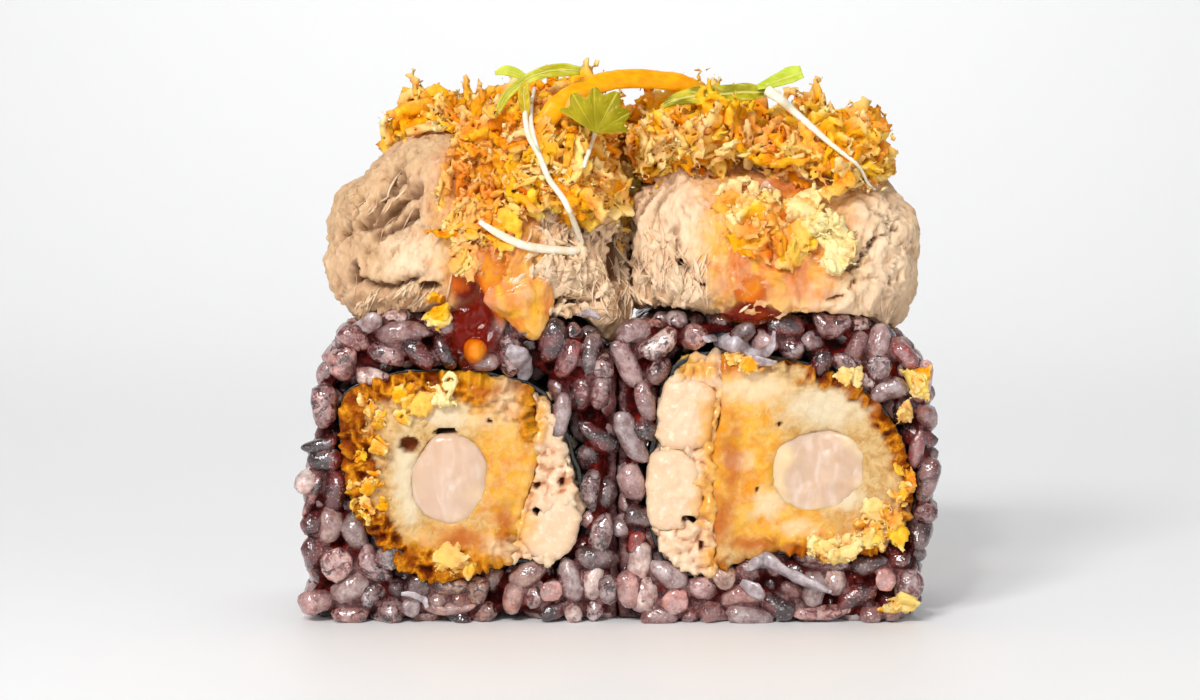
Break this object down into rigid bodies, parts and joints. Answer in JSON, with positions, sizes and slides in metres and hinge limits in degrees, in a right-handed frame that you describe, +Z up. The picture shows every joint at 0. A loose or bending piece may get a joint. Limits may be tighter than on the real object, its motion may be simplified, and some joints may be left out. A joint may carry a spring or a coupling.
{
  "type": "futomaki",
  "caption": "Black rice sushi roll slices standing cut face forward, side by side, with fried prawn and salmon inside, topped with mounds of pulled fish, fried crumbs, carrot and sprouts.",
  "frame": {"origin": "middle of the underside of the whole thing, on the surface it stands on", "axes": "+X across the two slices towards the viewer's right, +Y along the roll from the front cut to the back cut, +Z up"},
  "size_m": [0.077, 0.0318, 0.0664],
  "materials": {
    "black_rice": "wet glossy cooked black rice, grey-lilac inside with dark red bran",
    "nori": "wet black-green seaweed sheet",
    "fried_batter": "rough golden fried crust over pale cream dough, partly glazed with amber sauce",
    "prawn": "smooth moist pinkish-white cooked prawn",
    "salmon": "pale pink-cream moist cooked flakes",
    "pulled_fish": "fine fibrous tan cooked fish, moist in places",
    "fried_crumbs": "crisp golden fried crumbs with spiky edges",
    "carrot": "moist bright orange strip",
    "sauce": "glossy amber to red-brown sauce",
    "sprouts": "fresh green leaves on translucent white stems"
  },
  "bodies": {
    "root": {"rice_left": "black_rice", "rice_right": "black_rice", "nori_left": "nori", "nori_right": "nori", "batter_left": "fried_batter", "batter_right": "fried_batter", "prawn_left": "prawn", "prawn_right": "prawn", "salmon_chunk_left": "salmon", "salmon_flakes_left": "salmon", "salmon_cube_right": "salmon", "salmon_slab_right": "salmon", "salmon_flakes_right": "salmon", "fish_left": "pulled_fish", "fish_right": "pulled_fish", "crumbs_left": "fried_crumbs", "crumbs_right": "fried_crumbs", "carrot_strip": "carrot"}
  },
  "joints": []
}
